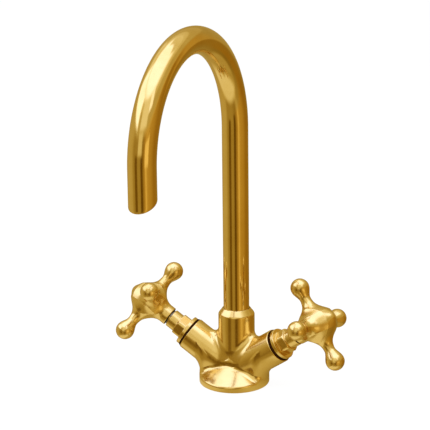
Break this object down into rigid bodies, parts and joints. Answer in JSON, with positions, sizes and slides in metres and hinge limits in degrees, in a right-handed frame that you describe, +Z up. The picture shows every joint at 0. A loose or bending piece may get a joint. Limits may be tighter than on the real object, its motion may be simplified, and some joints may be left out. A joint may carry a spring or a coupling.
{
  "type": "vessel sink faucet",
  "caption": "Brass monobloc basin faucet with a swivelling gooseneck spout and cross handles on inclined quarter-turn valves.",
  "frame": {"origin": "centre of the round base, on the deck", "axes": "+Z up along the column, X through both handles with hot at -X, spout towards -Y"},
  "size_m": [0.1762, 0.183, 0.2743],
  "materials": {
    "polished_brass": "mirror polished, unlacquered",
    "turned_brass": "turned, fine lathe marks",
    "satin_brass": "cast and buffed",
    "black_rubber": "matt",
    "white_plastic": "moulded",
    "ceramic": "lapped ceramic",
    "steel": "plain"
  },
  "bodies": {
    "body": {"body": "polished_brass", "base_seal": "black_rubber", "spout_wear_ring": "white_plastic", "spout_retaining_screw": "steel", "left_bonnet": "turned_brass", "left_bonnet_seal": "black_rubber", "left_fixed_disc": "ceramic", "left_lip_seal": "black_rubber", "right_bonnet": "turned_brass", "right_bonnet_seal": "black_rubber", "right_fixed_disc": "ceramic", "right_lip_seal": "black_rubber"},
    "spout": {"spout_tube": "polished_brass", "spout_spigot": "turned_brass", "spout_lower_seal": "black_rubber", "spout_upper_seal": "black_rubber", "flow_straightener": "white_plastic", "straightener_seal": "black_rubber"},
    "left_valve": {"left_spindle": "turned_brass", "left_stem_seals": "black_rubber", "left_circlip": "steel", "left_moving_disc": "ceramic", "left_cross_handle": "satin_brass", "left_handle_screw": "steel"},
    "right_valve": {"right_spindle": "turned_brass", "right_stem_seals": "black_rubber", "right_circlip": "steel", "right_moving_disc": "ceramic", "right_cross_handle": "satin_brass", "right_handle_screw": "steel"}
  },
  "joints": [
    {"name": "spout_swivel", "type": "hinge", "parent": "body", "child": "spout", "pos_m": [0, 0.0047, 0.04], "axis": [0, 0, 1], "continuous": true},
    {"name": "left_valve_turn", "type": "hinge", "parent": "body", "child": "left_valve", "pos_m": [0, 0.0024, 0.0092], "axis": [-0.827, -0.0578, 0.5592], "range_deg": [0, 90]},
    {"name": "right_valve_turn", "type": "hinge", "parent": "body", "child": "right_valve", "pos_m": [0, 0.0024, 0.0092], "axis": [-0.827, 0.0578, -0.5592], "range_deg": [0, 90]}
  ]
}
